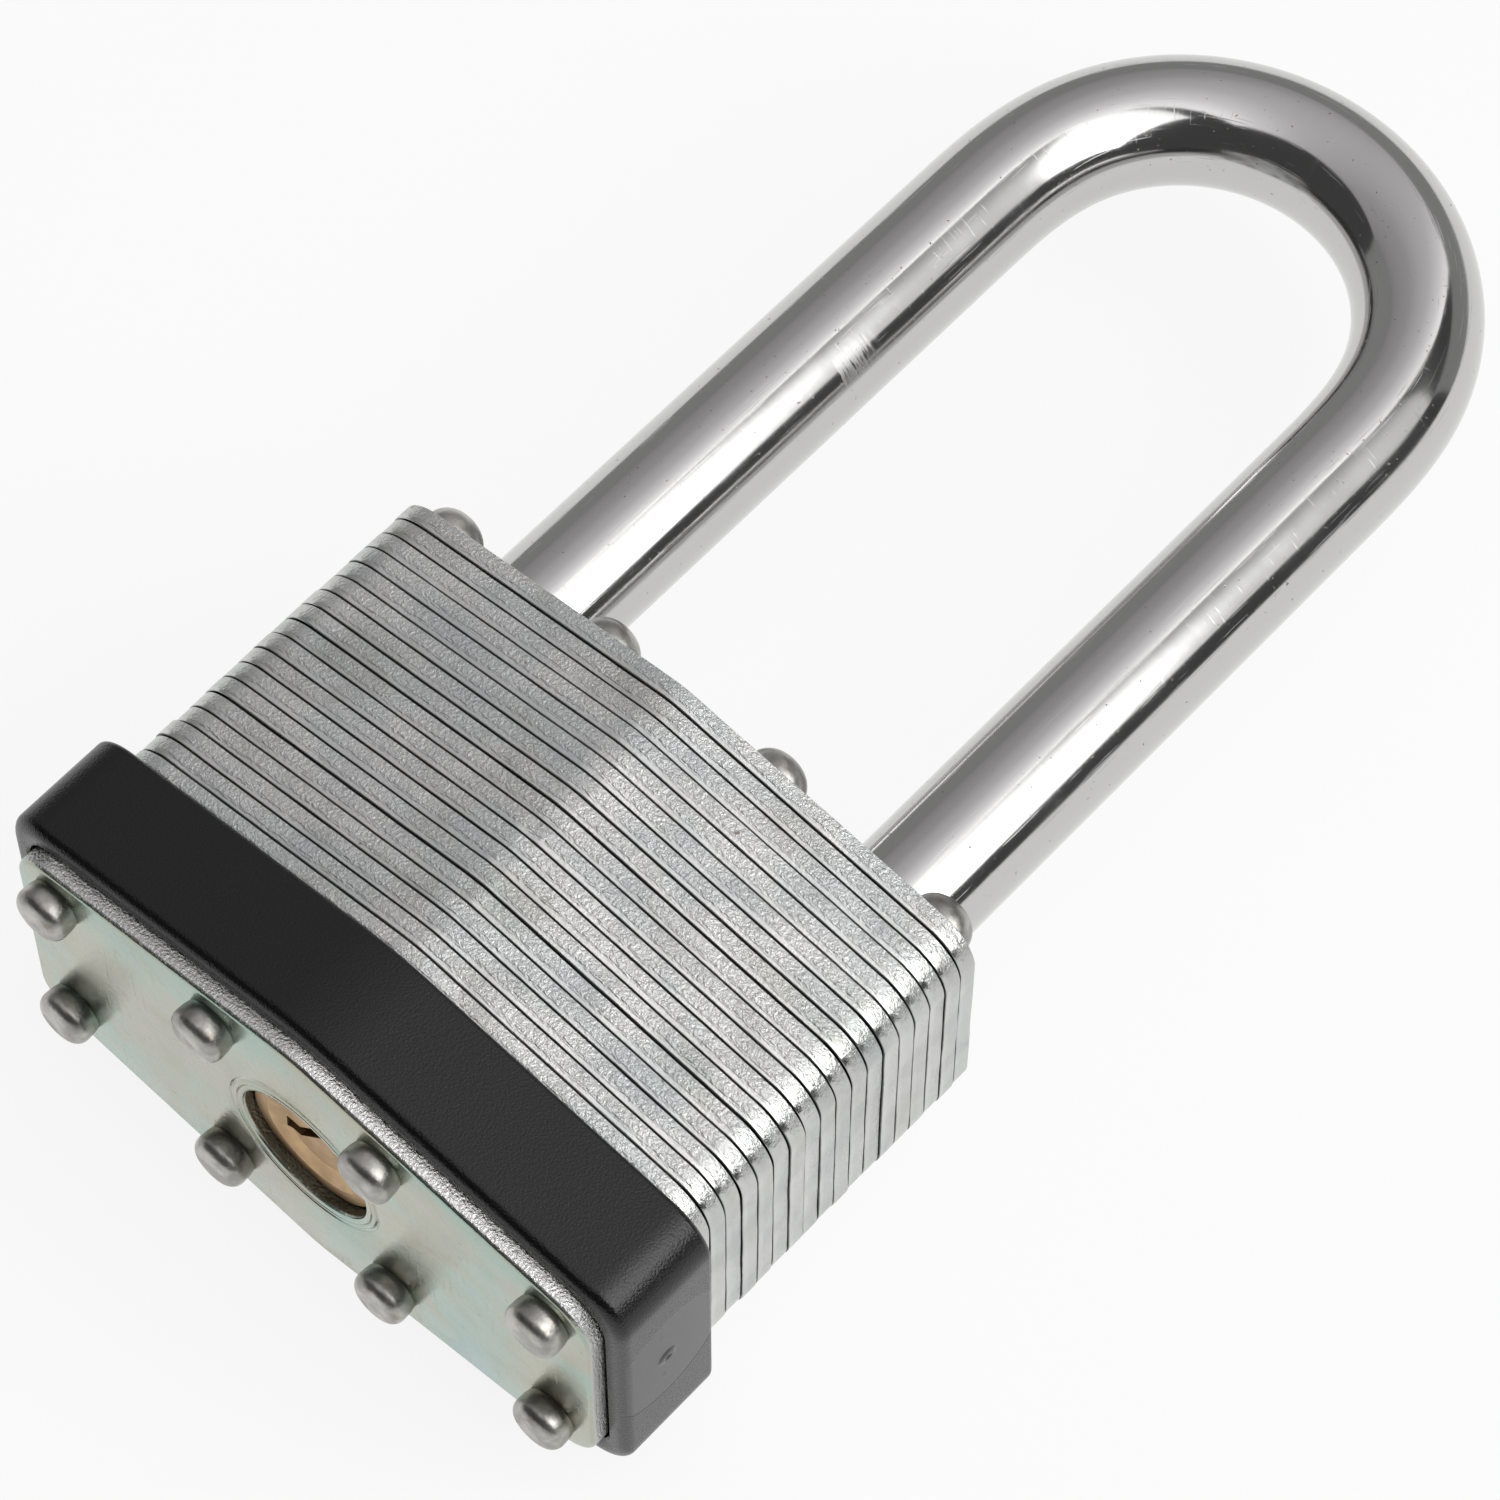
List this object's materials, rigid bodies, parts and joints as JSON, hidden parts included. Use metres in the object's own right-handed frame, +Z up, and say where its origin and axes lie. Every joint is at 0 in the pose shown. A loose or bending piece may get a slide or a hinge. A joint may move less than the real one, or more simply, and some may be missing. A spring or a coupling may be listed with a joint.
{
  "type": "laminated padlock",
  "caption": "Laminated steel padlock with a long chrome shackle, a black bumper band round its base, riveted plates and a working pin tumbler plug, cam and pawls.",
  "frame": {"origin": "centre of the lock's footprint as it lies on its back, on the surface under the bumper's ridge", "axes": "+Y from the base plate towards the bow of the shackle, +Z up out of the front face, +X across the width"},
  "size_m": [0.0534, 0.11, 0.0305],
  "materials": {
    "base_zinc": "glossy zinc plate with a faint iridescent passivation",
    "plate_zinc": "sheared, grainy zinc-plated edges",
    "rivet_steel": "tumbled steel",
    "bumper_black": "black satin moulding",
    "shackle_chrome": "polished chrome plate",
    "plug_brass": "dull machined brass",
    "cylinder_brass": "cast brass",
    "pin_brass": "turned brass",
    "inner_steel": "plain steel"
  },
  "bodies": {
    "lock_body": {"base_plate": "base_zinc", "inset_plates": "plate_zinc", "bumper": "bumper_black", "rivets": "rivet_steel", "body_plate_01": "plate_zinc", "body_plate_02": "plate_zinc", "body_plate_03": "plate_zinc", "body_plate_04": "plate_zinc", "body_plate_05": "plate_zinc", "body_plate_06": "plate_zinc", "body_plate_07": "plate_zinc", "body_plate_08": "plate_zinc", "heel_retaining_plate": "plate_zinc", "body_plate_10": "plate_zinc", "body_plate_11": "plate_zinc", "body_plate_12": "plate_zinc", "body_plate_13": "plate_zinc", "body_plate_14": "plate_zinc", "body_plate_15": "plate_zinc", "body_plate_16": "plate_zinc", "body_plate_17": "plate_zinc", "top_plate": "plate_zinc", "cylinder_body": "cylinder_brass", "pin_cover": "inner_steel", "shackle_spring": "inner_steel", "pin_spring_1": "inner_steel", "pin_spring_2": "inner_steel", "pin_spring_3": "inner_steel", "pin_spring_4": "inner_steel"},
    "shackle": {"shackle": "shackle_chrome"},
    "plug": {"plug": "plug_brass", "locking_cam": "inner_steel"},
    "toe_pawl": {"toe_pawl": "inner_steel"},
    "heel_pawl": {"heel_pawl": "inner_steel"},
    "key_pin_1": {"key_pin_1": "pin_brass"},
    "driver_pin_1": {"driver_pin_1": "pin_brass"},
    "key_pin_2": {"key_pin_2": "pin_brass"},
    "driver_pin_2": {"driver_pin_2": "pin_brass"},
    "key_pin_3": {"key_pin_3": "pin_brass"},
    "driver_pin_3": {"driver_pin_3": "pin_brass"},
    "key_pin_4": {"key_pin_4": "pin_brass"},
    "driver_pin_4": {"driver_pin_4": "pin_brass"}
  },
  "joints": [
    {"name": "shackle_lift", "type": "slide", "parent": "lock_body", "child": "shackle", "axis": [0, 1, 0], "range_m": [0, 0.013], "deforming": ["shackle_spring"]},
    {"name": "plug_turn", "type": "hinge", "parent": "lock_body", "child": "plug", "pos_m": [0, 0, 0.01527], "axis": [0, 1, 0], "range_deg": [0, 90]},
    {"name": "toe_pawl_throw", "type": "slide", "parent": "lock_body", "child": "toe_pawl", "axis": [1, 0, 0], "range_m": [0, 0.0019]},
    {"name": "heel_pawl_throw", "type": "slide", "parent": "lock_body", "child": "heel_pawl", "axis": [-1, 0, 0], "range_m": [0, 0.0019]},
    {"name": "key_pin_1_slide", "type": "slide", "parent": "plug", "child": "key_pin_1", "axis": [1, 0, 0], "range_m": [0, 0.0009]},
    {"name": "driver_pin_1_slide", "type": "slide", "parent": "lock_body", "child": "driver_pin_1", "axis": [0, 0, 1], "range_m": [0, 0.0012], "deforming": ["pin_spring_1"]},
    {"name": "key_pin_2_slide", "type": "slide", "parent": "plug", "child": "key_pin_2", "axis": [1, 0, 0], "range_m": [0, 0.0009]},
    {"name": "driver_pin_2_slide", "type": "slide", "parent": "lock_body", "child": "driver_pin_2", "axis": [0, 0, 1], "range_m": [0, 0.0012], "deforming": ["pin_spring_2"]},
    {"name": "key_pin_3_slide", "type": "slide", "parent": "plug", "child": "key_pin_3", "axis": [1, 0, 0], "range_m": [0, 0.0009]},
    {"name": "driver_pin_3_slide", "type": "slide", "parent": "lock_body", "child": "driver_pin_3", "axis": [0, 0, 1], "range_m": [0, 0.0012], "deforming": ["pin_spring_3"]},
    {"name": "key_pin_4_slide", "type": "slide", "parent": "plug", "child": "key_pin_4", "axis": [1, 0, 0], "range_m": [0, 0.0009]},
    {"name": "driver_pin_4_slide", "type": "slide", "parent": "lock_body", "child": "driver_pin_4", "axis": [0, 0, 1], "range_m": [0, 0.0012], "deforming": ["pin_spring_4"]}
  ],
  "couplings": [
    {"joint": "toe_pawl_throw", "follows": "plug_turn", "m_per_rad": 0.0012096},
    {"joint": "heel_pawl_throw", "follows": "plug_turn", "m_per_rad": 0.0012096}
  ]
}
